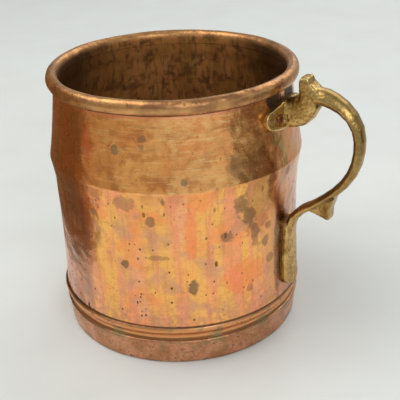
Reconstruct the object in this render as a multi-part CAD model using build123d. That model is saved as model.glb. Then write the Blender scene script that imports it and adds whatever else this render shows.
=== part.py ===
from build123d import *
from math import atan2, cos, degrees, radians, sin
import os

# A copper mug: a raised sheet wall with a wired rim, a base pan seamed and soldered to it,
# and a cast brass handle held by three copper rivets. Millimetres, +Z up. The origin is the
# centre of the foot face, and the handle points along +X.

# Wall, rim and base: radii are to the outside of the sheet
mug_height = 141.6  # foot face to the top of the rim
body_radius = 65.2  # lower wall, where it enters the base pan
waist = 0.6  # how far the lower wall draws in at mid height
shoulder_swell = 1.6  # the shoulder crease stands this far outside the lower wall
shoulder_drop = 44.3  # top of the rim to the crease
shoulder_flare = 11.3  # height over which the wall flares out to the crease
neck_inset = 3.9  # the neck under the rim is this far inside the lower wall
band_dip = 0.45  # hollow of the band between crease and neck
sheet = 1.2  # wall and base pan
wire_radius = 2.2  # wire that the rim is rolled over
roll_out = 0.3  # the wire's centre stands this far outside the neck
roll_gap = 16.0  # degrees left open where the roll's free edge comes back to the wall

# Base pan, upwards from the foot face
foot_radius = 1.2  # rounding of the foot's edge
pan_flare = 0.9  # the pan's band is this much wider at its top than at the foot
pan_inset = 0.4  # the top of the band is this far inside the lower wall
band_height = 12.2  # plain band
step_height = 2.0  # thin lip above the band
step_bulge = 0.6
cove_height = 4.6  # hollow moulding above the thin lip
cove_depth = 1.1
seam_height = 3.4  # folded lip that grips the wall
seam_lap = 1.0  # how far the lip stands outside the wall
seam_cover = 3.0  # length of wall inside the lip
solder_leg = 1.1  # solder fillet, across
solder_rise = 2.0  # solder fillet, up the wall

# Handle: one brass casting
rivet_drop = 19.4  # top of the rim to the upper rivets
low_rivet_height = 40.0  # foot face to the lower rivet
lug_thick = 2.9
lug_half_span = 19.2  # centre to the tip of one wing
lug_half_height = 7.6  # at the centre
wing_tip_radius = 4.7
lug_rise = 0.8  # the lug's middle stands this far above its rivets
strap_thick = 3.0
strap_half_width = 7.2
strap_tail = 12.6  # lower rivet to the strap's tip
strap_lead = 20.5  # lower rivet up to where the loop leaves the strap
loop_width = 10.6  # across the handle
loop_thick = 4.8  # in the handle's own plane
loop_edge = 2.0  # rounding of the loop's edges
loop_reach = 36.6  # outside of the lower wall to the middle of the loop at its widest
loop_out_drop = 12.2  # upper rivets down to the widest point
loop_top_rise = 11.9  # upper rivets up to where the loop joins the thumb piece
loop_top_reach = 15.0  # outside of the lower wall to that point
loop_straight = 21.4  # straight run between the loop's two lower bends
loop_heel = 13.0  # bend radius where the loop turns down into the strap
thumb_gap = 6.4  # rim to the thumb piece
thumb_top = 20.4  # upper rivets to the tip of the thumb piece
thumb_tip = 4.2  # depth of the tip, away from the rim
thumb_half_width = 4.0
thumb_hollow_run = 3.4  # lowest part of the thumb piece's hollow back, out from its tip
thumb_hollow_rise = 2.2  # and above the loop's back
thumb_tail = 6.0  # the back runs out into the loop this far past the neck
thumb_sink = 0.6  # and ends this far below the loop's back
neck_half_width = 5.3  # the neck between the lug and the loop
neck_heel = 1.0  # underside of the neck above the lug's bottom edge, at the wall
neck_shelf = 4.0  # the underside runs out this far from the lug, nearly level,
neck_shelf_rise = 0.5  # rising by this,
neck_climb_run = 6.0  # then climbs over this run
neck_climb = 5.0  # by this
neck_lap = 3.0  # the neck's end runs this far under the loop
neck_under = 1.2  # its underside there, below the loop's
neck_tuck = 0.8  # its top corner there, below the loop's back
neck_crown = 1.0  # its top at the thumb piece, above the middle of the loop
edge_round = 1.0  # rounded edges of the neck, thumb piece and spur
spur_length = 9.4  # spur below the loop
spur_run = 0.2  # where it starts, as a fraction of the straight run
spur_width = 10.5
spur_half_width = 3.6
spur_lap = 2.2  # its root starts this far outwards
spur_sink = 1.0  # and this far up inside the loop
spur_back = 0.2  # its toe leans back this far from its root
spur_toe_out = 1.6  # the toe's outer corner
spur_toe_in = 1.4  # the toe's inner corner
spur_toe_rise = 0.6  # the outer corner is higher by this

# Rivets
rivet_radius = 2.0
rivet_offset = 8.9  # each upper rivet to the handle's centre plane
head_radius = 2.7  # hammered end, outside
head_height = 1.1
inner_head_radius = 4.6  # made head, inside the mug
inner_head_height = 1.7
recess_depth = 0.6  # sunk seat of each outer head
recess_margin = 0.5  # seat beyond the head
recess_run = 2.6  # the upper seats run on this far towards the wing tips

bead_radius = wire_radius + sheet
neck_radius = body_radius - neck_inset
rim_z = mug_height - bead_radius
roll_radius = neck_radius + roll_out
rim_radius = roll_radius + bead_radius
shoulder_z = mug_height - shoulder_drop
step_z = band_height + step_height
cove_z = step_z + cove_height
seam_z = cove_z + seam_height
seat_z = seam_z - seam_cover  # bottom edge of the wall
up_rivet_z = mug_height - rivet_drop


def wall_line(offset):
    # the outside of the wall, moved outwards by offset, from its bottom edge up to the rim
    low = body_radius + offset
    flare_z = shoulder_z - shoulder_flare
    crease = low + shoulder_swell
    neck = neck_radius + offset
    top_z = rim_z - (bead_radius + wire_radius) / 2
    band_mid = (crease + neck) / 2 - band_dip
    return [
        ThreePointArc((low, seat_z), (low - waist, (seat_z + flare_z) / 2), (low, flare_z)),
        Line((low, flare_z), (crease, shoulder_z)),
        ThreePointArc((crease, shoulder_z), (band_mid, (shoulder_z + top_z) / 2), (neck, top_z)),
    ]


def close_between(inner, outer):
    # a face in the half plane (radius, height) between two lines that run upwards
    foot = Line(inner[0] @ 0, outer[0] @ 0)
    top = Line(inner[-1] @ 1, outer[-1] @ 1)
    return make_face(inner + outer + [foot, top])


def turned(face):
    # half a turn puts the seam of the turned surface opposite the handle
    return Rot(0, 0, 180) * revolve(Plane.XZ * face, Axis.Z)


def skin(inner_offset, outer_offset):
    return turned(close_between(wall_line(inner_offset), wall_line(outer_offset)))


def core(offset):
    # everything inside the wall line moved by offset
    line = wall_line(offset)
    axis_line = [Line((0, (line[0] @ 0).Y), (0, (line[-1] @ 1).Y))]
    return turned(close_between(axis_line, line))


def wall_radius(height):
    # outside of the wall at one height, read off the wall line
    level = Line((body_radius / 2, height), (body_radius * 2, height))
    hits = [edge.intersect(level) for edge in wall_line(0)]
    points = [hit for found in hits if found for hit in found.vertices()]
    return max(point.X for point in points)


def radial(height, side_offset=0.0):
    # plane across a rivet: it looks outwards along the mug's radius through that point
    radius = wall_radius(height)
    turn = degrees(atan2(side_offset, radius))
    return Plane.XY.rotated((0, 0, turn)) * Plane(origin=(0, 0, height), x_dir=(0, 1, 0), z_dir=(1, 0, 0))


def rivet_sites():
    # name, plane across the rivet, height, thickness of the casting there, run of its seat
    return [
        ("rivet_upper_front", radial(up_rivet_z, -rivet_offset), up_rivet_z, lug_thick, -recess_run),
        ("rivet_upper_rear", radial(up_rivet_z, rivet_offset), up_rivet_z, lug_thick, recess_run),
        ("rivet_lower", radial(low_rivet_height), low_rivet_height, strap_thick, 0.0),
    ]


def shank(plane, inner_end, outer_end):
    return plane * Pos(0, 0, inner_end) * extrude(Circle(rivet_radius), outer_end - inner_end)


def wall_shell():
    roll = Circle(bead_radius) - Circle(wire_radius)
    open_side = radians(-90 + roll_gap)
    reach = 2 * bead_radius
    roll -= Polygon(
        (0, 0),
        (0, -reach),
        (reach * cos(open_side), reach * sin(open_side)),
        align=None,
    )
    profile = Pos(roll_radius, rim_z) * roll + close_between(wall_line(-sheet), wall_line(0))
    shell = turned(profile)
    for _, plane, height, _, _ in rivet_sites():
        outside = wall_radius(height)
        shell -= shank(plane, outside - 2 * sheet, outside + sheet)
    return shell


def rim_wire():
    return turned(Pos(roll_radius, rim_z) * Circle(wire_radius))


def base_pan():
    band_top = body_radius - pan_inset
    foot = band_top - pan_flare
    lip = body_radius + seam_lap
    step = band_top + step_bulge
    cove = body_radius - cove_depth
    inside = body_radius - sheet - solder_leg
    turn = foot_radius * (1 - cos(radians(45)))
    outside = [
        Line((0, 0), (foot - foot_radius, 0)),
        ThreePointArc((foot - foot_radius, 0), (foot - turn, turn), (foot, foot_radius)),
        Line((foot, foot_radius), (band_top, band_height)),
        ThreePointArc((band_top, band_height), (step, band_height + step_height / 2), (band_top, step_z)),
        ThreePointArc((band_top, step_z), (cove, step_z + cove_height / 2), (body_radius, cove_z)),
        ThreePointArc((body_radius, cove_z), (lip, cove_z + seam_height / 2), (body_radius, seam_z)),
    ]
    inner = [
        Line((body_radius, seam_z), (body_radius, seat_z)),
        Line((body_radius, seat_z), (inside, seat_z)),
        Line((inside, seat_z), (inside, sheet)),
        Line((inside, sheet), (0, sheet)),
        Line((0, sheet), (0, 0)),
    ]
    return turned(make_face(outside + inner))


def seam_solder():
    ledge = body_radius - sheet - solder_leg
    fillet_face = close_between(wall_line(-sheet - solder_leg), wall_line(-sheet))
    corner = Polygon(
        (ledge, seat_z),
        (body_radius, seat_z),
        (body_radius, seat_z + solder_rise * (1 + sheet / solder_leg)),
        align=None,
    )
    return turned(fillet_face & corner)


def loop_path():
    out = (body_radius + loop_reach, up_rivet_z - loop_out_drop)
    top = (body_radius + loop_top_reach, up_rivet_z + loop_top_rise)
    end = (body_radius + strap_thick / 2, low_rivet_height + strap_lead)
    across, drop = out[0] - end[0], out[1] - end[1]
    bends = (across**2 + drop**2 - loop_straight**2) / (2 * across)  # sum of both bend radii
    low_bend = bends - loop_heel
    lean = atan2(drop, bends - across) - atan2(loop_straight, bends)
    rays = (cos(lean), -sin(lean))
    half = (cos(lean / 2), -sin(lean / 2))
    centre = (out[0] - low_bend, out[1])
    heel = (end[0] + loop_heel, end[1])
    upper = TangentArc(out, top, tangent=(0, 1))
    lower = ThreePointArc(
        out,
        (centre[0] + low_bend * half[0], centre[1] + low_bend * half[1]),
        (centre[0] + low_bend * rays[0], centre[1] + low_bend * rays[1]),
    )
    bend = ThreePointArc(
        (heel[0] - loop_heel * rays[0], heel[1] - loop_heel * rays[1]),
        (heel[0] - loop_heel * half[0], heel[1] - loop_heel * half[1]),
        end,
    )
    return upper, lower, Line(lower @ 1, bend @ 0), bend


def loop():
    upper, lower, straight, bend = loop_path()
    path = Plane.XZ * Wire([upper, lower, straight, bend])
    start = Plane(origin=path @ 0, x_dir=(0, 1, 0), z_dir=path % 0)
    return sweep(start * RectangleRounded(loop_width, loop_thick, loop_edge), path=path)


def slab(face, half_width):
    solid = Plane.XZ * extrude(face, half_width, both=True)
    sides = solid.edges().filter_by(lambda edge: abs(abs(edge.center().Y) - half_width) < 1e-6)
    return fillet(sides, edge_round)


def neck():
    # from the lug up to the start of the loop
    root = wall_radius(up_rivet_z) - sheet
    shelf = root + lug_thick + neck_shelf
    end = body_radius + loop_top_reach + neck_lap
    heel_z = up_rivet_z - lug_half_height + lug_rise + neck_heel
    loop_z = up_rivet_z + loop_top_rise
    line = Polyline(
        (root, heel_z),
        (shelf, heel_z + neck_shelf_rise),
        (shelf + neck_climb_run, heel_z + neck_shelf_rise + neck_climb),
        (end, loop_z - loop_thick / 2 - neck_under),
        (end, loop_z + loop_thick / 2 - neck_tuck),
        (rim_radius + thumb_gap, loop_z + neck_crown),
        (root, up_rivet_z + lug_half_height),
    )
    return slab(make_face([*line.edges(), Line(line @ 1, line @ 0)]), neck_half_width)


def thumb_piece():
    inner = rim_radius + thumb_gap
    loop_back = up_rivet_z + loop_top_rise + loop_thick / 2
    root = (inner, up_rivet_z + lug_half_height)
    top = (inner, up_rivet_z + thumb_top)
    tip = (inner + thumb_tip, up_rivet_z + thumb_top)
    hollow = (inner + thumb_tip + thumb_hollow_run, loop_back + thumb_hollow_rise)
    tail = (body_radius + loop_top_reach + thumb_tail, loop_back - thumb_sink)
    under = (tail[0], loop_back - loop_thick)
    back = ThreePointArc(tip, hollow, tail)
    line = [Line(root, top), Line(top, tip), back, Line(tail, under), Line(under, root)]
    return slab(make_face(line), thumb_half_width)


def spur():
    _, _, straight, _ = loop_path()
    base = straight @ spur_run
    along = straight % 0
    toe = (base.X - spur_back, base.Y - loop_thick / 2 - spur_length)
    line = Polyline(
        (base.X + spur_lap, base.Y + spur_sink),
        (toe[0] + spur_toe_out, toe[1] + spur_toe_rise),
        (toe[0] - spur_toe_in, toe[1]),
        (base.X + along.X * spur_width, base.Y + along.Y * spur_width),
        close=True,
    )
    return slab(make_face(line), spur_half_width)


def lug():
    middle = Pos(0, up_rivet_z + lug_rise) * Circle(lug_half_height)
    tip_y = lug_half_span - wing_tip_radius
    tips = [Pos(side * tip_y, up_rivet_z + lug_rise) * Circle(wing_tip_radius) for side in (-1, 1)]
    outline = make_hull([edge for circle in (middle, *tips) for edge in circle.edges()])
    return extrude(Plane.YZ * outline, body_radius * 2) & skin(0, lug_thick)


def strap():
    tip_z = low_rivet_height - strap_tail
    end_z = tip_z + strap_half_width
    top_z = low_rivet_height + strap_lead + loop_thick / 2
    body = Pos(0, (end_z + top_z) / 2) * Rectangle(2 * strap_half_width, top_z - end_z)
    outline = body + Pos(0, end_z) * Circle(strap_half_width)
    return extrude(Plane.YZ * outline, body_radius * 2) & skin(0, strap_thick)


def seat_depth(height, thick):
    return wall_radius(height) + thick - recess_depth


def handle():
    plates = lug() + strap()
    for _, plane, height, thick, run in rivet_sites():
        seat = head_radius + recess_margin
        recess = Circle(seat)
        if run:
            recess += Pos(run, 0) * Circle(seat) + Pos(run / 2, 0) * Rectangle(abs(run), 2 * seat)
        floor = seat_depth(height, thick)
        plates -= plane * Pos(0, 0, floor) * extrude(recess, lug_thick)
        plates -= shank(plane, wall_radius(height) - sheet, floor + sheet)
    arms = loop() + neck() + thumb_piece() + spur()
    return arms - core(0) + plates


def rivet(plane, height, thick):
    floor = seat_depth(height, thick)
    dome = (head_radius**2 + head_height**2) / (2 * head_height)
    outer = Pos(0, 0, floor + head_height - dome) * Sphere(dome)
    outer &= Pos(0, 0, floor + head_height / 2) * Box(4 * head_radius, 4 * head_radius, head_height)
    inside = wall_radius(height) - sheet
    inner_dome = (inner_head_radius**2 + inner_head_height**2) / (2 * inner_head_height)
    inner = Pos(0, 0, inside - inner_head_height + inner_dome) * Sphere(inner_dome)
    column = Pos(0, 0, inside) * Cylinder(inner_head_radius, 4 * inner_head_height)
    made_head = (plane * (inner & column)) & core(-sheet)
    buried = inside - inner_head_height / 2
    body = Pos(0, 0, buried) * extrude(Circle(rivet_radius), floor - buried)
    return plane * body + plane * outer + made_head


os.makedirs("parts", exist_ok=True)
nodes = {
    "wall_shell": wall_shell(),
    "rim_wire": rim_wire(),
    "base_pan": base_pan(),
    "seam_solder": seam_solder(),
    "handle": handle(),
}
for name, plane, height, thick, _ in rivet_sites():
    nodes[name] = rivet(plane, height, thick)
for name, shape in nodes.items():
    export_step(shape, f"parts/{name}.step")
    box = shape.bounding_box()
    print(name, len(shape.solids()), round(shape.volume), box.min, box.max)
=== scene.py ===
import math

import bmesh
import bpy
from mathutils import Matrix, Quaternion, Vector, noise


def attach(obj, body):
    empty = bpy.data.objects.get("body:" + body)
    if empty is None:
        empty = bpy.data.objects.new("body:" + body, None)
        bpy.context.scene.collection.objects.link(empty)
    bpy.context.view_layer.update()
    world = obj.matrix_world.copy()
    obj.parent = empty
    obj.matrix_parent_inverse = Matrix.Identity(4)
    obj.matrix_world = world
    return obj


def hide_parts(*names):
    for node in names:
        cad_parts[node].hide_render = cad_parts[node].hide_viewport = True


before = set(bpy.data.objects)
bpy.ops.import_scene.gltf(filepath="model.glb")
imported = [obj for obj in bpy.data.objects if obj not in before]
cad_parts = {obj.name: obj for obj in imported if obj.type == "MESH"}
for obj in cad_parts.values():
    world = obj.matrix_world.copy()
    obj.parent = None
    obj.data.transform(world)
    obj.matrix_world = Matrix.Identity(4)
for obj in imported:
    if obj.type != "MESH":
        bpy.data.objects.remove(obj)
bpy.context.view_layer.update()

mm = 0.001
root = "root"


def tone(red, green, blue):
    # a colour as it looks on a chart, 0 to 255, made linear for the shaders
    parts = [value / 255 for value in (red, green, blue)]
    return tuple(p / 12.92 if p < 0.04045 else ((p + 0.055) / 1.055) ** 2.4 for p in parts) + (1.0,)


def smoothStep(value, low, high):
    share = min(max((value - low) / (high - low), 0.0), 1.0)
    return share * share * (3 - 2 * share)


def angleGap(first, second):
    # degrees between two bearings round the mug
    return (first - second + 180) % 360 - 180


def onlyVerts(geom):
    return [item for item in geom if isinstance(item, bmesh.types.BMVert)]


def relax(bm, verts, times):
    for _ in range(times):
        bmesh.ops.smooth_vert(
            bm, verts=verts, factor=0.5, use_axis_x=True, use_axis_y=True, use_axis_z=True
        )


def finishPiece(bm, name, material, nodes=(), smoothAngle=None):
    mesh = bpy.data.meshes.new(name)
    bm.to_mesh(mesh)
    bm.free()
    for polygon in mesh.polygons:
        polygon.use_smooth = True
    if smoothAngle:
        mesh.set_sharp_from_angle(angle=math.radians(smoothAngle))
    piece = bpy.data.objects.new(name, mesh)
    bpy.context.scene.collection.objects.link(piece)
    mesh.materials.append(material)
    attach(piece, root)
    if nodes:
        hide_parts(*nodes)
    print("made", name, len(mesh.polygons), "faces")
    return piece


def node(tree, kind, inputs=None, **settings):
    made = tree.nodes.new("ShaderNode" + kind)
    for key, value in settings.items():
        setattr(made, key, value)
    for key, value in (inputs or {}).items():
        if isinstance(value, bpy.types.NodeSocket):
            tree.links.new(value, made.inputs[key])
        else:
            made.inputs[key].default_value = value
    return made


def sums(tree, operation, first, second=0.0):
    return node(tree, "Math", {0: first, 1: second}, operation=operation).outputs[0]


def ramp(tree, value, low, high, start=0.0, end=1.0):
    # value from low to high becomes start to end, eased, and stops there
    inputs = {"Value": value, "From Min": low, "From Max": high, "To Min": start, "To Max": end}
    return node(tree, "MapRange", inputs, interpolation_type="SMOOTHSTEP").outputs["Result"]


def stretched(tree, coords, scale):
    return node(tree, "Mapping", {"Vector": coords, "Scale": scale}).outputs["Vector"]


def grain(tree, coords, scale, detail):
    return node(tree, "TexNoise", {"Vector": coords, "Scale": scale, "Detail": detail}).outputs["Fac"]


def cloud(tree, coords, size, low, high, detail=3.0):
    # soft patches about size across, in millimetres, 0 to 1
    inputs = {"Vector": coords, "Scale": 1000 / size, "Detail": detail, "Roughness": 0.55}
    return ramp(tree, node(tree, "TexNoise", inputs).outputs["Fac"], low, high)


def spots(tree, coords, size, reach, edge, keep):
    # round spots: cells about size apart, a spot reaching up to reach of its cell, and a share of them kept
    inputs = {"Vector": coords, "Scale": 1000 / size, "Randomness": 1.0}
    cells = node(tree, "TexVoronoi", inputs)
    chance = node(tree, "SeparateColor", {"Color": cells.outputs["Color"]})
    grown = sums(tree, "MULTIPLY", chance.outputs["Green"], reach)
    gap = sums(tree, "SUBTRACT", cells.outputs["Distance"], grown)
    kept = sums(tree, "LESS_THAN", chance.outputs["Red"], keep)
    return sums(tree, "MULTIPLY", ramp(tree, gap, 0.0, -edge), kept)


def blot(tree, coords, place, size, rag):
    # one stain round a point, both in millimetres, its edge torn by rag; size is (x, y, z)
    middle = [v * mm for v in place]
    shrink = [1 / (v * mm) for v in size]
    centred = node(tree, "VectorMath", {0: coords, 1: middle}, operation="SUBTRACT").outputs[0]
    scaled = node(tree, "VectorMath", {0: centred, 1: shrink}, operation="MULTIPLY").outputs[0]
    reach = node(tree, "VectorMath", {0: scaled}, operation="LENGTH").outputs["Value"]
    torn = sums(tree, "MULTIPLY_ADD", rag, 1.6)
    torn.node.inputs[2].default_value = -0.8
    return ramp(tree, sums(tree, "ADD", reach, torn), 1.2, 0.75)


def band(tree, height, middle, half, soft):
    # 1 inside a band of height, in millimetres, fading out over soft
    gap = sums(tree, "ABSOLUTE", sums(tree, "SUBTRACT", height, middle * mm))
    return ramp(tree, gap, (half + soft) * mm, half * mm)


def most(tree, *masks):
    top = masks[0]
    for mask in masks[1:]:
        top = sums(tree, "MAXIMUM", top, mask)
    return top


def over(tree, share, under, colour):
    mixed = node(tree, "Mix", data_type="RGBA", blend_type="MIX")
    for key, value in ((0, share), (6, under), (7, colour)):
        if isinstance(value, bpy.types.NodeSocket):
            tree.links.new(value, mixed.inputs[key])
        else:
            mixed.inputs[key].default_value = value
    return mixed.outputs[2]


def part(tree, mask, share):
    return sums(tree, "MULTIPLY", mask, share)


def washes(tree, spaces, first, layers):
    # washes laid over a first colour: space, size, low, high, share, tone and any finer detail
    colour = tone(*first)
    for space, size, low, high, share, shade, *detail in layers:
        mask = part(tree, cloud(tree, spaces[space], size, low, high, *detail), share)
        colour = over(tree, mask, colour, tone(*shade))
    return colour


def coated(tree, colour, coats):
    # coats over a colour, each a mask, a share and a tone
    for mask, share, shade in coats:
        colour = over(tree, part(tree, mask, share), colour, tone(*shade))
    return colour


def relief(tree, height, depth, under=None):
    # depth in millimetres
    inputs = {"Height": height, "Strength": 1.0, "Distance": depth * mm}
    if under is not None:
        inputs["Normal"] = under
    return node(tree, "Bump", inputs).outputs["Normal"]


def newMaterial(name):
    material = bpy.data.materials.new(name)
    material.use_nodes = True
    tree = material.node_tree
    tree.nodes.clear()
    shader = node(tree, "BsdfPrincipled")
    output = node(tree, "OutputMaterial")
    tree.links.new(shader.outputs[0], output.inputs["Surface"])
    coords = node(tree, "TexCoord").outputs["Object"]
    return material, tree, shader, coords


def wire(tree, shader, **sockets):
    names = {"colour": "Base Color", "rough": "Roughness", "metal": "Metallic", "normal": "Normal"}
    for key, value in sockets.items():
        if isinstance(value, bpy.types.NodeSocket):
            tree.links.new(value, shader.inputs[names[key]])
        else:
            shader.inputs[names[key]].default_value = value


camera = {
    "place": (0.2172, -0.3516, 0.2619),
    "ahead": (-0.4515, 0.7785, -0.4361),
    "roll": -2.29,
    "lens": 74.85,
    "sensor": 36.0,
}
studio = {
    "floorSize": 8.0,
    "floorTone": (226, 230, 229),
    "floorWorn": (214, 214, 212),
    "worldTone": (228, 230, 227),
    "worldStrength": 0.64,
}
softboxes = {  # place, aim, width, height, power, tone
    "keyPanel": ((-0.45, -0.35, 1.05), (0, 0, 0.07), 0.8, 0.8, 5.5, (255, 251, 244)),
    "fillPanel": ((0.95, -0.75, 0.85), (0, 0, 0.07), 0.7, 0.7, 4.6, (247, 250, 255)),
    "backPanel": ((0.2, 1.15, 1.0), (0, 0, 0.05), 1.4, 0.6, 5.5, (255, 253, 250)),
}
flags = {  # foot from, foot to, height, tone: boards round the set that only the metal sees
    "brownFlag": ((-0.098, -0.120), (-0.160, 0.075), 0.20, (164, 130, 86)),
    "leftFlag": ((-0.36, -0.20), (-0.11, -0.41), 0.16, (196, 180, 160)),
    "frontFlag": ((-0.11, -0.41), (0.16, -0.39), 0.13, (222, 208, 190)),
    "rightFlag": ((0.405, -0.055), (0.394, 0.084), 0.14, (120, 104, 84)),
    "farRightFlag": ((0.394, 0.084), (0.30, 0.24), 0.14, (150, 132, 108)),
}
flagFoot = 0.001  # the boards and the disc clear the floor by this
bounce = {"radius": 0.24, "tone": (250, 248, 244), "glow": 0.02}


def makeCamera():
    data = bpy.data.cameras.new("viewCamera")
    data.lens = camera["lens"]
    data.sensor_width = camera["sensor"]
    data.clip_start = 0.01
    data.clip_end = 50
    rig = bpy.data.objects.new("viewCamera", data)
    turn = Vector(camera["ahead"]).to_track_quat("-Z", "Y")
    rig.rotation_mode = "QUATERNION"
    rig.rotation_quaternion = turn @ Quaternion((0, 0, 1), math.radians(camera["roll"]))
    rig.location = camera["place"]
    bpy.context.scene.collection.objects.link(rig)
    bpy.context.scene.camera = rig


def stagePiece(name, bm, material, onlyReflected=False):
    mesh = bpy.data.meshes.new(name)
    bm.to_mesh(mesh)
    bm.free()
    mesh.materials.append(material)
    piece = bpy.data.objects.new(name, mesh)
    bpy.context.scene.collection.objects.link(piece)
    if onlyReflected:
        for sight in ("visible_camera", "visible_diffuse", "visible_shadow", "visible_transmission"):
            setattr(piece, sight, False)


def makeFloor():
    bm = bmesh.new()
    bmesh.ops.create_grid(bm, x_segments=1, y_segments=1, size=studio["floorSize"] / 2)
    material, tree, shader, coords = newMaterial("palePaint")
    worn = cloud(tree, coords, 60, 0.3, 0.8)
    colour = over(tree, part(tree, worn, 0.35), tone(*studio["floorTone"]), tone(*studio["floorWorn"]))
    wire(tree, shader, colour=colour, rough=0.6)
    stagePiece("paleFloor", bm, material)


def makeLight():
    world = bpy.data.worlds.new("softRoom")
    bpy.context.scene.world = world
    world.use_nodes = True
    background = world.node_tree.nodes["Background"]
    background.inputs["Color"].default_value = tone(*studio["worldTone"])
    background.inputs["Strength"].default_value = studio["worldStrength"]
    for name, (place, aim, width, height, power, colour) in softboxes.items():
        data = bpy.data.lights.new(name, "AREA")
        data.shape = "RECTANGLE"
        data.size = width
        data.size_y = height
        data.energy = power
        data.color = tone(*colour)[:3]
        panel = bpy.data.objects.new(name, data)
        panel.location = place
        panel.rotation_euler = (Vector(aim) - Vector(place)).to_track_quat("-Z", "Y").to_euler()
        bpy.context.scene.collection.objects.link(panel)
    bpy.context.scene.view_settings.view_transform = "Standard"
    bpy.context.scene.view_settings.look = "None"


def makeFlags():
    for name, (start, end, height, shade) in flags.items():
        bm = bmesh.new()
        foot = bm.edges.new([bm.verts.new((x, y, flagFoot)) for x, y in (start, end)])
        grown = bmesh.ops.extrude_edge_only(bm, edges=[foot])["geom"]
        bmesh.ops.translate(bm, vec=(0, 0, height), verts=onlyVerts(grown))
        material, tree, shader, coords = newMaterial(name + "Felt")
        wire(tree, shader, colour=tone(*shade), rough=0.9)
        stagePiece(name, bm, material, onlyReflected=True)


def makeBounce():
    bm = bmesh.new()
    lift = Matrix.Translation((0, 0, flagFoot))
    bmesh.ops.create_circle(bm, cap_ends=True, segments=64, radius=bounce["radius"], matrix=lift)
    material, tree, shader, coords = newMaterial("bounceWhite")
    wire(tree, shader, colour=tone(*bounce["tone"]), rough=0.8)
    shader.inputs["Emission Color"].default_value = tone(*bounce["tone"])
    shader.inputs["Emission Strength"].default_value = bounce["glow"]
    stagePiece("bounceCard", bm, material, onlyReflected=True)


makeCamera()
makeFloor()
makeLight()
makeFlags()
makeBounce()
print("made camera, floor and light")


wall = {  # millimetres
    "radius": 65.2,
    "waist": 0.6,
    "bottom": 19.2,
    "flareStart": 86.0,
    "crease": 97.3,
    "creaseRadius": 66.8,
    "neckRadius": 61.3,
    "neckTop": 134.9,
    "bandDip": 0.45,
    "sheet": 1.2,
    "beadMiddle": (61.9, 137.8),
    "beadHalf": (3.1, 3.8),
    "wireMiddle": (61.6, 138.2),
    "wire": 2.23,
    "rollGap": 16.0,
    "rollStart": 134.0,  # the wall ends and the roll begins
    "mouth": 60.6,  # above that, this far in counts as inside
    "crevice": [(61.35, 134.4), (61.32, 135.6)],
    "drawnIn": [(58.95, 136.0), (59.2, 134.2), (59.5, 132.4), (59.85, 130.4), (60.3, 128.2)],
    "row": 1.3,
    "creaseRows": [96.2, 96.8, 97.3, 97.8, 98.5],
    "bandRows": 99.6,
    "innerTop": 126.0,
    "innerRow": 2.2,
    "dull": (137.6, 140.4),  # the inside's dull colour fades out over these heights
    "dentsRise": (22.5, 34.0),
    "dentsEnd": (126.0, 136.0),
    "beatenPitch": 65,
    "beaten": [(5.0, (0, 0, 0), 0.16), (13.0, (3, 1, 4), 0.07)],  # how fine, where in the noise, how deep
    "dip": (-150, 22, 0.7),  # the rim leans in here: bearing, half width, depth
    "steps": 240,
}
dents = [  # bearing, height, half width (degrees), half height (mm), depth (mm)
    (-112, 75, 9, 24, 0.9),
    (-118, 50, 10, 15, 0.5),
    (-36, 78, 8, 20, 0.8),
    (-28, 108, 7, 14, 0.5),
    (-60, 45, 16, 20, 0.25),
    (-84, 88, 12, 10, 0.2),
    (24, 70, 14, 22, 0.6),
    (70, 55, 12, 24, 0.7),
    (118, 80, 16, 18, 0.6),
    (162, 60, 12, 26, 0.7),
    (-150, 96, 10, 20, 0.5),
]


def wallRadius(height):
    # outside of the wall, millimetres
    if height < wall["flareStart"]:
        middle = (wall["bottom"] + wall["flareStart"]) / 2
        reach = (height - middle) / (wall["flareStart"] - middle)
        return wall["radius"] - wall["waist"] * (1 - min(reach * reach, 1))
    if height < wall["crease"]:
        share = (height - wall["flareStart"]) / (wall["crease"] - wall["flareStart"])
        return wall["radius"] + (wall["creaseRadius"] - wall["radius"]) * share
    share = min((height - wall["crease"]) / (wall["neckTop"] - wall["crease"]), 1)
    sag = wall["bandDip"] * (1 - (2 * share - 1) ** 2)
    return wall["creaseRadius"] + (wall["neckRadius"] - wall["creaseRadius"]) * share - sag


def wallDent(bearing, height):
    # how far the beaten sheet stands off its true round, millimetres, mostly inwards
    push = 0.0
    for middle, level, wide, tall, depth in dents:
        gap = (angleGap(bearing, middle) / wide) ** 2 + ((height - level) / tall) ** 2
        push -= depth * math.exp(-gap)
    turn = math.radians(bearing)
    around = Vector((math.cos(turn), math.sin(turn), height / wall["beatenPitch"]))
    for fine, place, depth in wall["beaten"]:
        push += depth * (noise.noise(around * fine + Vector(place)) - 0.6)
    return push


def profileArc(middle, half, start, end, count):
    turns = [math.radians(start + (end - start) * i / count) for i in range(count + 1)]
    return [(middle[0] + half[0] * math.cos(t), middle[1] + half[1] * math.sin(t)) for t in turns]


def spinProfile(points, steps, closed=True):
    bm = bmesh.new()
    line = [bm.verts.new((r * mm, 0, z * mm)) for r, z in points]
    pairs = list(zip(line, line[1:]))
    if closed:
        pairs.append((line[-1], line[0]))
    edges = [bm.edges.new(pair) for pair in pairs]
    bmesh.ops.spin(
        bm, geom=line + edges, cent=(0, 0, 0), axis=(0, 0, 1), angle=2 * math.pi, steps=steps,
        use_merge=True,
    )
    bmesh.ops.remove_doubles(bm, verts=bm.verts, dist=1e-6)
    bmesh.ops.recalc_face_normals(bm, faces=bm.faces)
    return bm


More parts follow.
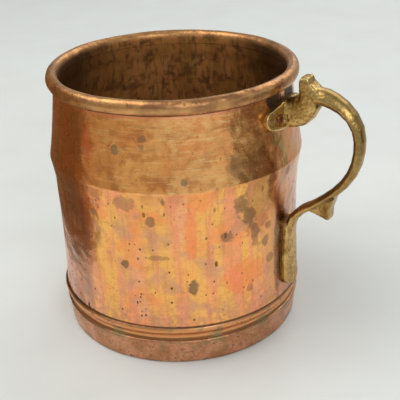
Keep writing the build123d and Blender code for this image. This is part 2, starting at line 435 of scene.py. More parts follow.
def wallProfile():
    start, row = wall["bottom"], wall["row"]
    heights = [start + row * i for i in range(60)] + wall["creaseRows"]
    heights += [wall["bandRows"] + row * i for i in range(27)]
    outside = [(wallRadius(h), h) for h in heights if h < wall["rollStart"]]
    roll = profileArc(wall["wireMiddle"], (wall["wire"], wall["wire"]), -96, wall["rollGap"] - 450, 22)
    cover = profileArc(wall["beadMiddle"], wall["beadHalf"], wall["rollGap"] - 90, 184, 30)
    levels = [wall["innerTop"] - wall["innerRow"] * i for i in range(50)]
    levels = [h for h in levels if h > start + 0.6] + [start]
    inside = [(wallRadius(h) - wall["sheet"], h) for h in levels]
    return outside + wall["crevice"] + roll + cover + wall["drawnIn"] + inside


def shapeWall(bm):
    layer = bm.verts.layers.float.new("inside")
    for vert in bm.verts:
        height = vert.co.z / mm
        radius = math.hypot(vert.co.x, vert.co.y) / mm
        bearing = math.degrees(math.atan2(vert.co.y, vert.co.x))
        skin = wallRadius(min(height, wall["rollStart"])) - wall["sheet"] * 0.5
        inward = radius < skin if height < wall["rollStart"] else radius < wall["mouth"]
        vert[layer] = 1 - smoothStep(height, *wall["dull"]) if inward else 0.0
        low = smoothStep(height, *wall["dentsRise"])
        rim = smoothStep(height, *wall["dentsEnd"])
        push = wallDent(bearing, height) * low * (1 - rim)
        turn = math.radians(bearing)
        wave = Vector((math.cos(turn), math.sin(turn), 0))
        sway = 0.5 * noise.noise(wave * 1.7) + 0.16 * noise.noise(wave * 6.0)
        middle, wide, depth = wall["dip"]
        sway -= depth * math.exp(-((angleGap(bearing, middle) / wide) ** 2))
        lift = 0.22 * noise.noise(wave * 2.3 + Vector((7, 2, 0)))
        lift += 0.1 * noise.noise(wave * 7.0 + Vector((1, 5, 0)))
        grow = 1 + (push + sway * rim) / max(radius, 1)
        vert.co.x *= grow
        vert.co.y *= grow
        vert.co.z += (lift - 0.2) * rim * mm


stains = {  # bearing, height, half width, half height (mm), how dark
    "spots": [
        (-71, 82, 2.4, 2.8, 0.6),
        (-54, 45, 2.6, 4.2, 0.8),
        (-84, 57, 2.0, 2.2, 0.75),
        (-85, 117, 2.2, 2.4, 0.7),
        (-38, 70, 3.2, 3.0, 0.6),
        (-56, 102.5, 1.6, 1.8, 0.7),
        (-69, 62, 5.6, 1.3, 0.45),
        (-65, 93, 0.9, 2.6, 0.65),
        (-27, 38, 2.2, 2.4, 0.6),
        (-18, 61, 2.2, 3.0, 0.6),
        (-73, 123, 1.8, 1.8, 0.6),
        (-73, 119, 1.6, 1.6, 0.55),
        (-82, 91, 6.0, 4.0, 0.4),
        (-31, 86, 4.0, 6.0, 0.6),
        (-27, 78, 4.0, 5.0, 0.65),
        (-24, 68, 2.4, 8.0, 0.5),
        (-33, 106, 5.0, 6.0, 0.5),
        (24, 60, 3.5, 4.0, 0.6),
        (61, 96, 4.0, 3.0, 0.55),
        (102, 48, 3.0, 4.5, 0.6),
        (148, 84, 4.5, 3.5, 0.5),
        (-158, 52, 3.0, 4.0, 0.6),
    ],
    # grey-black patches on the wall either side of the upper lug
    "soot": [(-8, 131, 7, 4.5, 1), (8, 130, 9, 5, 1)],
    "brassSmear": [(-9, 112, 3, 5, 1), (-5, 104, 2.4, 7, 1)],
    # painted highlight: bright golden patches high on the band
    "gleam": [(-48, 127, 11, 7, 1), (-62, 122, 6, 9, 1)],
    # red-orange streaks; the one at bearing -100 on the band is a painted reflection
    "blush": [(-54, 74, 3, 15, 1), (-30, 46, 11, 9, 1), (-100, 118, 3, 9, 1)],
    "shade": [(-22, 92, 10, 26, 1)],
    # painted shadow: dark strips on the wall either side of the lower strap
    "strapShadow": [(-9, 52, 3, 26, 1), (9, 52, 3, 26, 1)],
}
# washes: space, size (mm), low, high, share, tone; each list starts with the tone under them all
copperWashes = {
    "wall": ((240, 172, 126), [  # salmon, gold, pink and orange in upright streaks
        ("upright", 20, 0.44, 0.56, 1, (240, 182, 102)),
        ("upright", 7, 0.5, 0.58, 0.7, (238, 152, 120)),
        ("plain", 22, 0.5, 0.62, 0.8, (244, 156, 96)),
        ("plain", 13, 0.52, 0.66, 0.6, (200, 150, 126)),
        ("upright", 2.4, 0.52, 0.7, 0.35, (196, 126, 84)),
        ("plain", 5, 0.5, 0.72, 0.5, (206, 150, 84)),
        ("plain", 1.8, 0.5, 0.75, 0.5, (198, 138, 92), 5.0),
        ("level", 0.7, 0.56, 0.72, 0.35, (188, 126, 80)),
    ]),
    # painted shade: a dimmer, greyer tone for the wall's sides turned away from the front
    "sides": ((196, 142, 112), [
        ("plain", 12, 0.4, 0.62, 1, (168, 134, 116)),
        ("upright", 3.4, 0.48, 0.62, 0.7, (176, 108, 72)),
        ("plain", 7, 0.54, 0.64, 0.5, (136, 118, 98)),
    ]),
    "band": ((246, 182, 114), [  # browner, scratched round
        ("plain", 18, 0.4, 0.62, 1, (238, 158, 94)),
        ("plain", 9, 0.5, 0.66, 0.6, (190, 126, 76)),
        ("level", 1.6, 0.52, 0.66, 0.45, (255, 216, 150)),
        ("level", 2.6, 0.56, 0.7, 0.35, (168, 116, 66)),
        ("plain", 4, 0.52, 0.7, 0.5, (184, 112, 62)),
        ("plain", 2, 0.52, 0.72, 0.5, (252, 190, 124)),
    ]),
    # painted shade: the band's sides turned away from the front
    "shadedBandSides": ((204, 122, 76), [("upright", 5, 0.4, 0.62, 1, (170, 128, 84))]),
    "rim": ((198, 146, 94), [
        ("plain", 9, 0.35, 0.7, 1, (158, 112, 76)),
        ("level", 3, 0.5, 0.7, 0.5, (232, 182, 122)),
        ("plain", 2.5, 0.55, 0.72, 0.5, (120, 96, 76)),
    ]),
    "inside": ((204, 134, 74), [  # dull and brown
        ("upright", 14, 0.4, 0.6, 1, (172, 114, 54)),
        ("upright", 3, 0.48, 0.62, 0.6, (190, 140, 66)),
        ("plain", 6, 0.48, 0.66, 0.7, (104, 66, 32)),
        ("upright", 1.6, 0.52, 0.66, 0.5, (84, 54, 26)),
    ]),
}


def onWall(bearing, height):
    turn = math.radians(bearing)
    radius = wallRadius(height)
    return (radius * math.cos(turn), radius * math.sin(turn), height)


facing = (0.525, -0.851, 0.0)  # the way the front of the wall looks, at bearing -58


def wallBlots(tree, coords, rag, group, marks=0.0):
    for bearing, height, wide, tall, dark in stains[group]:
        stain = blot(tree, coords, onWall(bearing, height), (wide, wide, tall), rag)
        marks = most(tree, marks, part(tree, stain, dark))
    return marks


def sheetColour(tree, spaces, height, front):
    # the wall, dusty low down, with painted shade on the sides turned away from the front, then the band
    # above the crease
    coords, upright = spaces["plain"], spaces["upright"]
    colour = washes(tree, spaces, *copperWashes["wall"])
    dust = sums(tree, "MULTIPLY", ramp(tree, height, 44 * mm, 23 * mm), cloud(tree, coords, 3, 0.36, 0.6))
    colour = over(tree, part(tree, dust, 0.65), colour, tone(190, 138, 110))
    ragged = part(tree, cloud(tree, upright, 16, 0.2, 0.8), 16 * mm)
    # painted shade: 1 on the sides turned away from the front, ragged at its edge
    turnedAwayShade = ramp(tree, sums(tree, "ADD", front, ragged), 58 * mm, 44 * mm)
    colour = over(tree, part(tree, turnedAwayShade, 0.9), colour, washes(tree, spaces, *copperWashes["sides"]))
    bandColour = washes(tree, spaces, *copperWashes["band"])
    shadedBandSides = washes(tree, spaces, *copperWashes["shadedBandSides"])
    bandColour = over(tree, part(tree, turnedAwayShade, 0.8), bandColour, shadedBandSides)
    wobble = part(tree, cloud(tree, coords, 12, 0.2, 0.8), 2 * mm)
    creaseLine = sums(tree, "SUBTRACT", sums(tree, "ADD", height, wobble), 98.2 * mm)
    # painted shade: darker streaks just under the crease
    underCreaseShade = ramp(tree, creaseLine, -9 * mm, -0.5 * mm)
    underCreaseShade = sums(tree, "MULTIPLY", underCreaseShade, cloud(tree, upright, 9, 0.4, 0.6))
    colour = over(tree, part(tree, underCreaseShade, 0.5), colour, tone(186, 122, 76))
    colour = over(tree, ramp(tree, creaseLine, -1.2 * mm, 1.0 * mm), colour, bandColour)
    blushed = part(tree, band(tree, height, 132.8, 0.5, 0.7), 0.6)
    return over(tree, blushed, colour, tone(240, 158, 122))


def wallPits(tree, coords, height):
    # small dark pits, in crowds, fewer towards the rim
    crowd = cloud(tree, coords, 24, 0.3, 0.52)
    fewer = ramp(tree, height, 104 * mm, 60 * mm, 0.45, 1.0)
    small = spots(tree, stretched(tree, coords, (1, 1, 0.8)), 2.5, 0.27, 0.08, 0.65)
    pits = most(tree, small, spots(tree, stretched(tree, coords, (1, 1, 0.5)), 4.4, 0.22, 0.05, 0.7))
    return sums(tree, "MULTIPLY", pits, sums(tree, "MULTIPLY", crowd, fewer))


def wallMarks(tree, coords, height, colour):
    # spots, pits, seam lines and stains over the sheet, and how much of it they dull
    rag = grain(tree, coords, 320.0, 4.0)
    marks = part(tree, spots(tree, coords, 15, 0.26, 0.1, 0.45), 0.5)
    marks = wallBlots(tree, coords, rag, "spots", marks)
    pits = wallPits(tree, coords, height)
    seam = most(tree, band(tree, height, 134.2, 0.3, 0.9), band(tree, height, 22.4, 0.2, 0.7))
    soot = wallBlots(tree, coords, rag, "soot")
    # painted highlight, broken up by a cloud
    gleam = sums(tree, "MULTIPLY", wallBlots(tree, coords, rag, "gleam"), cloud(tree, coords, 3, 0.4, 0.66))
    colour = coated(tree, colour, [
        (marks, 1, (128, 104, 82)),
        (pits, 0.85, (92, 70, 44)),
        (seam, 0.8, (70, 44, 30)),
        (soot, 0.9, (50, 50, 50)),
        (wallBlots(tree, coords, rag, "brassSmear"), 0.7, (168, 146, 92)),
        (gleam, 0.45, (255, 210, 140)),
        (wallBlots(tree, coords, rag, "blush"), 0.55, (240, 132, 88)),
        (wallBlots(tree, coords, rag, "shade"), 0.45, (128, 92, 60)),
        # painted shadow beside the strap
        (wallBlots(tree, coords, rag, "strapShadow"), 0.6, (104, 80, 58)),
    ])
    return colour, pits, most(tree, marks, pits, soot, seam)


def wallRelief(tree, spaces, pits, rimMask):
    coords = spaces["plain"]
    normal = relief(tree, grain(tree, coords, 110.0, 1.5), 0.8)  # beaten
    normal = relief(tree, grain(tree, coords, 900.0, 3.0), 0.05, normal)
    normal = relief(tree, grain(tree, spaces["level"], 1500.0, 2.0), 0.045, normal)  # scratched round
    knocks = sums(tree, "MULTIPLY", grain(tree, coords, 320.0, 3.0), rimMask)
    normal = relief(tree, knocks, 0.3, normal)
    return relief(tree, pits, -0.15, normal)


def copperWall():
    material, tree, shader, coords = newMaterial("agedCopper")
    height = node(tree, "SeparateXYZ", {"Vector": coords}).outputs["Z"]
    front = node(tree, "VectorMath", {0: coords, 1: facing}, operation="DOT_PRODUCT").outputs["Value"]
    upright = stretched(tree, coords, (1, 1, 0.1))
    spaces = {"plain": coords, "upright": upright, "level": stretched(tree, coords, (0.12, 0.12, 1))}
    rimMask = ramp(tree, height, 133.9 * mm, 134.5 * mm)
    colour = sheetColour(tree, spaces, height, front)
    colour = over(tree, rimMask, colour, washes(tree, spaces, *copperWashes["rim"]))
    colour, pits, dulled = wallMarks(tree, coords, height, colour)
    inner = node(tree, "Attribute", attribute_name="inside").outputs["Fac"]
    innerColour = washes(tree, spaces, *copperWashes["inside"])
    # painted shade: the inside darker everywhere but on the far wall
    sides = part(tree, ramp(tree, front, -58 * mm, -28 * mm), 0.95)
    innerColour = over(tree, sides, innerColour, tone(74, 44, 14))
    colour = over(tree, inner, colour, innerColour)
    rough = sums(tree, "ADD", 0.2, part(tree, cloud(tree, coords, 14, 0.3, 0.7), 0.12))
    rough = sums(tree, "ADD", rough, part(tree, most(tree, dulled, inner), 0.28))
    rough = sums(tree, "ADD", rough, part(tree, rimMask, 0.12))
    metal = ramp(tree, inner, 0.0, 1.0, 1.0, 0.45)
    normal = wallRelief(tree, spaces, pits, rimMask)
    wire(tree, shader, colour=colour, rough=rough, metal=metal, normal=normal)
    return material


agedCopper = copperWall()
wallMesh = spinProfile(wallProfile(), wall["steps"])
shapeWall(wallMesh)
finishPiece(wallMesh, "mugWall", agedCopper, ["wall_shell"], 50)


pan = {
    "foot": 63.9,
    "footRound": 1.2,
    "bandTop": 64.8,
    "bandHeight": 12.2,
    "step": 14.2,
    "thinLine": (0.4, (1.1, 1.0)),  # set in by, and half width and height
    "hollow": (0.2, 0.9, 4.4),  # stands out, sinks in, height
    "coveTop": 18.8,
    "lip": 66.2,
    "lipHalf": (1.3, 1.7),
    "seam": 22.2,
    "close": [(65.2, 22.1), (65.0, 19.2)],
    "inside": 62.9,
    "seat": 19.2,
    "sheet": 1.2,
    "corner": 2,
    "sideRow": 2.2,
    "floorRow": 4.9,
    "footRow": 5,
    "shift": (-0.35, -0.2),
    "waves": [(4, 0.22), (11, 0.1)],  # how fine, how deep
    "wavePitch": 40,
    "wavesRise": (40, 62),
    "steps": 240,
}
panWashes = ((198, 150, 116), [
    ("plain", 12, 0.35, 0.65, 1, (168, 124, 86)),
    ("plain", 3, 0.5, 0.7, 0.5, (136, 102, 74), 5.0),
    ("plain", 1.5, 0.46, 0.62, 0.6, (188, 118, 90)),
    ("plain", 1.9, 0.54, 0.66, 0.6, (126, 96, 76), 5.0),
    ("plain", 8, 0.52, 0.64, 0.5, (146, 124, 92)),
])


def panProfile():
    curve, top, low = pan["footRound"], pan["bandTop"], pan["step"]
    foot = pan["foot"] - curve
    edge = profileArc((foot, curve), (curve, curve), -90, 0, 6)
    lean = top - pan["foot"]
    rise = pan["bandHeight"] - curve
    side = [(pan["foot"] + lean * i / 8, curve + rise * i / 8) for i in range(1, 9)]
    setIn, thinHalf = pan["thinLine"]
    thin = profileArc((top - setIn, (pan["bandHeight"] + low) / 2), thinHalf, -80, 80, 8)
    out, sunk, tall = pan["hollow"]
    hollow = [(top + out - sunk * math.sin(math.pi * i / 8), low + tall * i / 8) for i in range(1, 8)]
    lipHalf = pan["lipHalf"]
    lip = profileArc((pan["lip"] - lipHalf[0], (pan["coveTop"] + pan["seam"]) / 2), lipHalf, -80, 80, 10)
    close = pan["close"] + [(pan["inside"], pan["seat"])]
    down = [(pan["inside"], pan["seat"] - pan["sideRow"] * i) for i in range(1, 8)]
    corner, sheet = pan["corner"], pan["sheet"]
    turn = profileArc((pan["inside"] - corner, sheet + corner), (corner, corner), 0, -90, 6)
    rings = [(pan["inside"] - corner - pan["floorRow"] * i, sheet) for i in range(1, 13)]
    under = [(foot - pan["footRow"] * i, 0.0) for i in range(12, 0, -1)]
    return [(0, 0)] + under + edge + side + thin + hollow + lip + close + down + turn + rings + [(0, sheet)]


def copperBase():
    material, tree, shader, coords = newMaterial("dullCopper")
    height = node(tree, "SeparateXYZ", {"Vector": coords}).outputs["Z"]
    green = sums(tree, "MULTIPLY", cloud(tree, coords, 10, 0.54, 0.62), band(tree, height, 16.5, 4.0, 3.0))
    seams = most(tree, band(tree, height, 14.9, 0.3, 0.7), band(tree, height, 22.3, 0.2, 0.5))
    colour = coated(tree, washes(tree, {"plain": coords}, *panWashes), [
        # painted highlight: a lighter golden band over the top of the cove and the lip
        (band(tree, height, 18.0, 3.2, 1.0), 0.7, (224, 158, 102)),
        (seams, 0.75, (88, 58, 38)),
        (green, 0.6, (132, 130, 92)),
        (spots(tree, coords, 2.2, 0.3, 0.08, 0.6), 0.7, (96, 74, 54)),
    ])
    rough = sums(tree, "ADD", 0.3, part(tree, cloud(tree, coords, 5, 0.3, 0.7), 0.15))
    normal = relief(tree, grain(tree, coords, 700.0, 4.0), 0.08)
    wire(tree, shader, colour=colour, rough=rough, metal=1.0, normal=normal)
    return material


def shapePan(bm):
    for vert in bm.verts:
        height = vert.co.z / mm
        radius = math.hypot(vert.co.x, vert.co.y) / mm
        turn = math.atan2(vert.co.y, vert.co.x)
        wave = Vector((math.cos(turn), math.sin(turn), height / pan["wavePitch"]))
        push = sum(depth * (noise.noise(wave * fine) - 0.5) for fine, depth in pan["waves"])
        edge = smoothStep(radius, *pan["wavesRise"])
        grow = 1 + push * edge / max(radius, 1)
        vert.co.x = vert.co.x * grow + pan["shift"][0] * mm
        vert.co.y = vert.co.y * grow + pan["shift"][1] * mm


dullCopper = copperBase()
panMesh = spinProfile(panProfile(), pan["steps"], closed=False)
shapePan(panMesh)
finishPiece(panMesh, "basePan", dullCopper, ["base_pan"], 50)


loop = {
    "stations": [  # out from the axis, height, thickness in the handle's plane, width
        (77.0, 132.4, 7.6, 10.4),
        (80.4, 133.2, 8.2, 11.2),
        (84.0, 132.9, 8.0, 11.2),
        (88.2, 131.4, 7.4, 11.0),
        (92.7, 129.0, 6.7, 10.6),
        (97.2, 124.8, 5.9, 10.2),
        (100.2, 119.5, 5.6, 9.8),
        (101.4, 114.0, 5.4, 9.4),
        (101.4, 108.0, 5.3, 9.2),
        (100.4, 102.0, 5.2, 9.2),
        (98.2, 96.0, 5.0, 9.0),
        (94.6, 90.2, 4.7, 8.8),
        (89.8, 84.8, 4.4, 8.6),
        (84.2, 79.9, 4.2, 8.6),
        (78.4, 75.6, 4.1, 9.0),
        (72.8, 71.8, 4.2, 9.8),
        (69.0, 67.8, 4.4, 11.0),
        (67.2, 62.6, 4.0, 12.4),
        (66.6, 57.0, 3.4, 13.2),
    ],
    "outline": [  # across and outwards, as shares of half the width and half the thickness
        (0.0, 1.04), (0.3, 1.0), (0.58, 0.88), (0.82, 0.62), (0.96, 0.32), (1.05, 0.1),
        (1.0, -0.1), (0.86, -0.42), (0.66, -0.82), (0.34, -1.04),
    ],
}
neck = {
    "stations": [
        (61.5, 122.8, 13.0, 15.4),
        (65.0, 122.9, 13.8, 12.4),
        (68.0, 123.4, 14.2, 11.4),
        (71.0, 124.6, 14.2, 10.8),
        (74.0, 127.0, 13.4, 10.6),
        (77.0, 129.8, 10.6, 10.6),
        (80.5, 131.8, 8.0, 11.0),
    ],
    "outline": [
        (0.0, 1.04), (0.45, 1.0), (0.82, 0.86), (1.02, 0.5), (1.04, 0.0), (1.02, -0.5),
        (0.8, -0.88), (0.42, -1.04),
    ],
}
thumbPiece = {
    "stations": [
        (78.4, 129.6, 14.0, 10.8),
        (76.9, 133.0, 11.4, 10.6),
        (75.4, 136.2, 8.2, 9.8),
        (74.2, 139.0, 5.9, 9.2),
        (74.0, 141.0, 5.0, 8.8),
        (73.9, 142.0, 4.4, 8.2),
        (73.9, 142.4, 2.6, 5.6),
    ],
    "outline": [
        (0.0, 1.0), (0.4, 0.98), (0.72, 0.98), (0.98, 0.96), (1.04, 0.6), (1.0, 0.0),
        (1.02, -0.6), (0.9, -1.0), (0.5, -1.04),
    ],
}
spur = {
    "outline": [
        (76.0, 73.6), (79.8, 72.5), (84.0, 70.9), (87.0, 69.6), (89.0, 70.6), (88.7, 75.4),
        (91.0, 82.6), (86.0, 80.0),
    ],
    "tipHeight": 69.0,
    "rootHeight": 76.0,
    "rootHalf": 3.9,
    "tipHalf": 2.6,
    "round": 0.5,
}
lug = {
    "height": 123.0,
    "middle": 7.4,
    "tip": 4.7,
    "span": 14.5,
    "thick": 3.0,
    "edge": 0.5,
    "crown": 0.2,
    "border": 0.9,
    "panel": (0.5, 0.25),  # slope's width, and how far it sinks
    "slice": 1.2,
    "sink": 0.4,
}
recess = {
    "across": 9.4,
    "height": 122.0,
    "halfAcross": 4.6,
    "halfHeight": 3.0,
    "depth": 0.75,
    "fade": (0.45, 1.15),
    "reach": 4.5,  # only this near the wall, and above the bottom
    "bottom": 100,
}
strap = {
    "tipHeight": 34.6,
    "tipRadius": 7.2,
    "topHeight": 64.0,
    "topHalf": 6.0,
    "thick": 3.1,
    "edge": 0.8,
    "crown": 0.1,
    "bevelDrop": 0.7,
    "ridge": 0.45,
    "slices": [(0, -6, 6, 1.5), (1, 29, 63, 2.0)],  # axis, from, to, step
    "sink": 0.4,
}
casting = {
    "voxel": 0.32,
    "smooth": 3,
    "blend": 20,
    "settle": 14,
    "wornGain": 2.6,
    "eye": (84, 108),  # middle of the handle's opening: out, height
    "stipple": 0.1,
    "lump": 0.22,
}
neckFoot = {"bottom": 112, "out": 71.5, "half": 9.5, "off": 1.6}


def stationFrame(stations, i):
    before = Vector(stations[max(i - 1, 0)][:2])
    after = Vector(stations[min(i + 1, len(stations) - 1)][:2])
    along = (after - before).normalized()
    out, height, thick, width = stations[i]
    ahead = Vector((along.x, 0, along.y))
    across = Vector((0, 1, 0))
    outward = ahead.cross(across)
    columns = Matrix((across * width / 2, outward * thick / 2, ahead)).transposed().to_4x4()
    return Matrix.Translation(Vector((out, 0, height))) @ columns


def sweepStations(shape, flip=1):
    bm = bmesh.new()
    half = shape["outline"]
    outline = half + [(-a, b) for a, b in reversed(half) if a > 0]
    ring = [bm.verts.new((a, b * flip, 0)) for a, b in outline]
    face = bm.faces.new(ring)
    places = [stationFrame(shape["stations"], i) for i in range(len(shape["stations"]))]
    bmesh.ops.transform(bm, matrix=places[0], verts=bm.verts)
    for before, after in zip(places, places[1:]):
        grown = bmesh.ops.extrude_face_region(bm, geom=[face])["geom"]
        face = [item for item in grown if isinstance(item, bmesh.types.BMFace)][0]
        bmesh.ops.transform(bm, matrix=after @ before.inverted(), verts=face.verts)
    bmesh.ops.recalc_face_normals(bm, faces=bm.faces)
    return bm


def spurFin():
    bm = bmesh.new()
    face = bm.faces.new([bm.verts.new((x, -1, z)) for x, z in spur["outline"]])
    grown = bmesh.ops.extrude_face_region(bm, geom=[face])["geom"]
    bmesh.ops.translate(bm, vec=(0, 2, 0), verts=onlyVerts(grown))
    for vert in bm.verts:
        share = smoothStep(vert.co.z, spur["tipHeight"], spur["rootHeight"])
        vert.co.y *= spur["tipHalf"] + (spur["rootHalf"] - spur["tipHalf"]) * share
    bmesh.ops.recalc_face_normals(bm, faces=bm.faces)
    bmesh.ops.bevel(
        bm, geom=bm.edges[:], offset=spur["round"], segments=2, profile=0.5, affect="EDGES", material=-1
    )
    return bm


def hullPlate(discs, thick):
    # the flat plate round some discs (across, height, radius), its back face at w = 0
    bm = bmesh.new()
    for across, height, radius in discs:
        bmesh.ops.create_cone(
            bm, cap_ends=True, segments=40, radius1=radius, radius2=radius, depth=thick,
            matrix=Matrix.Translation((across, height, thick / 2)),
        )
    hull = bmesh.ops.convex_hull(bm, input=bm.verts)
    spare = {item for key in ("geom_interior", "geom_unused") for item in hull[key]}
    bmesh.ops.delete(bm, geom=onlyVerts(spare), context="VERTS")
    inner = [e for e in bm.edges if not e.link_faces]
    bmesh.ops.delete(bm, geom=inner, context="EDGES")
    bmesh.ops.remove_doubles(bm, verts=bm.verts, dist=1e-4)
    bmesh.ops.dissolve_limit(bm, angle_limit=math.radians(1), verts=bm.verts, edges=bm.edges)
    bmesh.ops.recalc_face_normals(bm, faces=bm.faces)
    return bm


def sliceAlong(bm, axis, start, end, step):
    place = Vector((0, 0, 0))
    count = int((end - start) / step)
    for i in range(count + 1):
        place[axis] = start + step * i
        normal = Vector((0, 0, 0))
        normal[axis] = 1
        everything = bm.verts[:] + bm.edges[:] + bm.faces[:]
        bmesh.ops.bisect_plane(bm, geom=everything, plane_co=place, plane_no=normal)


def bendToWall(bm, sink):
    for vert in bm.verts:
        across, height, stand = vert.co
        radius = wallRadius(height)
        turn = across / radius
        reach = radius + stand - sink
        vert.co = Vector((reach * math.cos(turn), reach * math.sin(turn), height))
    bmesh.ops.recalc_face_normals(bm, faces=bm.faces)


def insetFace(bm, face, width, sink=0.0):
    bmesh.ops.inset_region(bm, faces=[face], thickness=width, depth=-sink, use_even_offset=True)


def lugPlate():
    discs = [(side * lug["span"], lug["height"], lug["tip"]) for side in (-1, 1)]
    bm = hullPlate(discs + [(0, lug["height"], lug["middle"])], lug["thick"] + lug["sink"])
    front = max(bm.faces, key=lambda face: face.calc_center_median().z)
    insetFace(bm, front, lug["edge"])
    for vert in front.verts:
        vert.co.z += lug["crown"]
    insetFace(bm, front, lug["border"])
    insetFace(bm, front, *lug["panel"])
    reach = lug["span"] + lug["tip"] - 1
    sliceAlong(bm, 0, -reach, reach, lug["slice"])
    bendToWall(bm, lug["sink"])
    return bm


def strapPlate():
    discs = [(0, strap["tipHeight"], strap["tipRadius"])]
    discs += [(side * (strap["topHalf"] - 1), strap["topHeight"], 1.0) for side in (-1, 1)]
    bm = hullPlate(discs, strap["thick"] + strap["sink"])
    front = max(bm.faces, key=lambda face: face.calc_center_median().z)
    insetFace(bm, front, strap["edge"])
    for vert in front.verts:
        vert.co.z += strap["crown"]
    outer = [v for v in bm.verts if v.co.z > strap["thick"] * 0.9 and v not in set(front.verts)]
    for vert in outer:
        vert.co.z -= strap["bevelDrop"]
    for cuts in strap["slices"]:
        sliceAlong(bm, *cuts)
    for vert in bm.verts:
        if vert.co.z > strap["thick"]:
            vert.co.z += strap["ridge"] * (1 - abs(vert.co.x) / strap["tipRadius"])
    bendToWall(bm, strap["sink"])
    return bm


def modified(bm, kind, **settings):
    # the shape with one modifier on it, as a plain mesh
    mesh = bpy.data.meshes.new("draft")
    bm.to_mesh(mesh)
    bm.free()
    draft = bpy.data.objects.new("draft", mesh)
    bpy.context.scene.collection.objects.link(draft)
    modifier = draft.modifiers.new("draft", kind)
    for key, value in settings.items():
        setattr(modifier, key, value)
    made = bpy.data.meshes.new_from_object(draft.evaluated_get(bpy.context.evaluated_depsgraph_get()))
    bpy.data.objects.remove(draft)
    return made


def castTogether(parts):
    whole = bmesh.new()
    for bm, levels in parts:
        whole.from_mesh(modified(bm, "SUBSURF", levels=levels, render_levels=levels))
    made = modified(whole, "REMESH", mode="VOXEL", voxel_size=casting["voxel"])
    bm = bmesh.new()
    bm.from_mesh(made)
    return bm


def wallGap(place):
    # how far a point, in millimetres, stands off the wall
    return math.hypot(place.x, place.y) - wallRadius(place.z)


def recessDepth(place):
    # the hollows either side of the lug's middle
    if wallGap(place) >= recess["reach"] or place.z <= recess["bottom"]:
        return 0.0
    across = (abs(place.y) - recess["across"]) / recess["halfAcross"]
    above = (place.z - recess["height"]) / recess["halfHeight"]
    return recess["depth"] * (1 - smoothStep(across**2 + above**2, *recess["fade"]))


def shapeCasting(bm):
    relax(bm, bm.verts, casting["smooth"])
    # the fillet where the neck grows out of the lug
    high = [v for v in bm.verts if v.co.z > neckFoot["bottom"] and v.co.x < neckFoot["out"]]
    fillet = [v for v in high if abs(v.co.y) < neckFoot["half"] and wallGap(v.co) > neckFoot["off"]]
    relax(bm, fillet, casting["blend"])
    bm.normal_update()
    sharp = [vert.co.copy() for vert in bm.verts]
    normals = [vert.normal.copy() for vert in bm.verts]
    relax(bm, bm.verts, casting["settle"])
    worn = bm.verts.layers.float.new("worn")
    flank = bm.verts.layers.float.new("flank")
    grime = bm.verts.layers.float.new("grime")
    out, middle = casting["eye"]
    for vert, place, normal in zip(bm.verts, sharp, normals):
        stand = (place - vert.co).dot(normal)
        vert[worn] = min(max(0.5 + stand * casting["wornGain"], 0), 1)
        # painted shade: faces turned in toward the handle's opening, and where the casting comes close to
        # the wall
        centre = Vector((out - place.x, 0, middle - place.z)).normalized()
        inward = smoothStep(normal.dot(centre), 0.5, 0.8) * smoothStep(place.x, 78, 84)
        vert[grime] = max(inward, 1 - smoothStep(wallGap(place), 0.3, 1.2))
        side = smoothStep(abs(normal.y), 0.4, 0.7) * (1 - 0.4 * smoothStep(place.x, 82, 92))
        near = 1 - smoothStep(place.x, 76, 82)
        vert[flank] = max(side, near)
        rise = noise.noise(place * 0.9) + 0.7 * noise.noise(place * 1.9)
        lump = casting["lump"] * noise.noise(place * 0.3) * near
        push = casting["stipple"] * (0.3 + 0.7 * vert[flank]) * rise - 0.06 + lump - recessDepth(place)
        vert.co = (place + normal * push) * mm


brassWashes = ((208, 176, 110), [
    ("plain", 8, 0.35, 0.65, 1, (186, 150, 84)),
    ("plain", 5, 0.5, 0.64, 0.5, (158, 112, 60)),
])


def agedBrass():
    material, tree, shader, coords = newMaterial("agedBrass")
    worn = node(tree, "Attribute", attribute_name="worn").outputs["Fac"]
    flank = node(tree, "Attribute", attribute_name="flank").outputs["Fac"]
    grime = node(tree, "Attribute", attribute_name="grime").outputs["Fac"]
    stain = cloud(tree, coords, 1.3, 0.42, 0.62, 4.0)
    stain = sums(tree, "MULTIPLY", stain, ramp(tree, flank, 0, 1, 0.25, 0.55))
    stain = sums(tree, "MULTIPLY", stain, cloud(tree, coords, 14, 0.25, 0.6))
    along = node(tree, "SeparateXYZ", {"Vector": coords}).outputs["X"]
    handled = sums(tree, "MULTIPLY", ramp(tree, along, 78 * mm, 86 * mm), cloud(tree, coords, 9, 0.2, 0.5))
    colour = coated(tree, washes(tree, {"plain": coords}, *brassWashes), [
        (stain, 1, (106, 76, 42)),
        (ramp(tree, worn, 0.48, 0.2), 0.8, (84, 62, 38)),
        # painted shade on the inner faces and by the wall
        (grime, 0.75, (70, 54, 36)),
        (ramp(tree, worn, 0.64, 0.9), 0.6, (226, 204, 142)),
        (handled, 0.6, (118, 94, 52)),
    ])
    rough = sums(tree, "ADD", 0.3, part(tree, most(tree, stain, grime), 0.25))
    punch = spots(tree, coords, 1.1, 0.5, 0.3, 0.8)
    normal = relief(tree, sums(tree, "MULTIPLY", punch, flank), -0.1)
    normal = relief(tree, grain(tree, coords, 1100.0, 3.0), 0.08, normal)
    wire(tree, shader, colour=colour, rough=rough, metal=1.0, normal=normal)
    return material


brass = agedBrass()
castingMesh = castTogether([
    (sweepStations(loop, -1), 3),
    (sweepStations(neck), 2),
    (sweepStations(thumbPiece), 2),
    (spurFin(), 0),
    (lugPlate(), 0),
    (strapPlate(), 0),
])
shapeCasting(castingMesh)
finishPiece(castingMesh, "castHandle", brass, ["handle"])


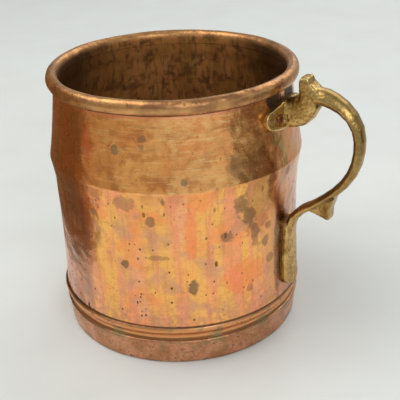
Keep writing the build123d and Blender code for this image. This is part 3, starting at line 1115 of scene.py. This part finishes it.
rivet = {
    "head": 2.2,
    "headHeight": 0.9,
    "headShares": (0.3, 0.55, 0.75, 0.9, 1.0),
    "shank": 2.0,
    "innerHead": 4.6,
    "innerHeight": 1.7,
    "innerShares": (1.0, 0.9, 0.72, 0.5, 0.25),
    "hammered": 0.128,
    "steps": 40,
}
rivetPlaces = {  # height, sideways, seat above the wall
    "rivet_upper_front": (122.2, -8.9, 2.3),
    "rivet_upper_rear": (122.2, 8.9, 2.3),
    "rivet_lower": (40.0, 0.0, 2.4),
}


def domeLine(radius, base, rise, power, shares):
    return [(radius * share, base + rise * (1 - share**power)) for share in shares]


def rivetBody(height, sideways, seat):
    sheetBack = -wall["sheet"]
    head, shank, inner = rivet["head"], rivet["shank"], rivet["innerHeight"]
    points = [(0, seat + rivet["headHeight"])]
    points += domeLine(head, seat, rivet["headHeight"], 2.6, rivet["headShares"])
    points += [(head * 0.97, seat - 0.1), (shank, seat - 0.15), (shank, sheetBack)]
    points += domeLine(rivet["innerHead"], sheetBack, -inner, 2.4, rivet["innerShares"])
    points += [(0, sheetBack - inner)]
    bm = spinProfile(points, rivet["steps"], closed=False)
    radius = wallRadius(height)
    onAxis = Matrix.Translation((radius * mm, 0, height * mm)) @ Matrix.Rotation(math.pi / 2, 4, "Y")
    for vert in bm.verts:
        where = vert.co / mm
        push = noise.noise(where * 0.5 + Vector((height, sideways, 0))) * min(where.xy.length, 1)
        vert.co += vert.co.normalized() * push * rivet["hammered"] * mm
    turned = Matrix.Rotation(math.atan2(sideways, radius), 4, "Z")
    bmesh.ops.transform(bm, matrix=turned @ onAxis, verts=bm.verts)
    return bm


def rivetCopper():
    material, tree, shader, coords = newMaterial("rivetCopper")
    colour = over(tree, cloud(tree, coords, 2, 0.35, 0.65), tone(156, 96, 58), tone(96, 58, 36))
    rough = sums(tree, "ADD", 0.35, part(tree, cloud(tree, coords, 2, 0.3, 0.7), 0.2))
    normal = relief(tree, grain(tree, coords, 900.0, 3.0), 0.1)
    wire(tree, shader, colour=colour, rough=rough, metal=1.0, normal=normal)
    return material


rivetMetal = rivetCopper()
for nodeName, (height, sideways, seat) in rivetPlaces.items():
    first, *rest = nodeName.split("_")
    pieceName = first + "".join(word.capitalize() for word in rest)
    body = rivetBody(height, sideways, seat)
    finishPiece(body, pieceName, rivetMetal, [nodeName], 40)


def solderTin():
    material, tree, shader, coords = newMaterial("oldSolder")
    colour = over(tree, cloud(tree, coords, 5, 0.35, 0.65), tone(128, 116, 98), tone(84, 72, 58))
    rough = sums(tree, "ADD", 0.4, part(tree, cloud(tree, coords, 3, 0.3, 0.7), 0.2))
    normal = relief(tree, grain(tree, coords, 350.0, 3.0), 0.3)
    wire(tree, shader, colour=colour, rough=rough, metal=1.0, normal=normal)
    return material


def ironWire():
    material, tree, shader, coords = newMaterial("rustyIron")
    colour = over(tree, cloud(tree, coords, 4, 0.35, 0.65), tone(84, 76, 70), tone(104, 62, 40))
    rough = sums(tree, "ADD", 0.5, part(tree, cloud(tree, coords, 3, 0.3, 0.7), 0.25))
    wire(tree, shader, colour=colour, rough=rough, metal=0.8)
    return material


for nodeName, material in (("seam_solder", solderTin()), ("rim_wire", ironWire())):
    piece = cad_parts[nodeName]
    piece.data.materials.clear()
    piece.data.materials.append(material)
print("finished every piece")
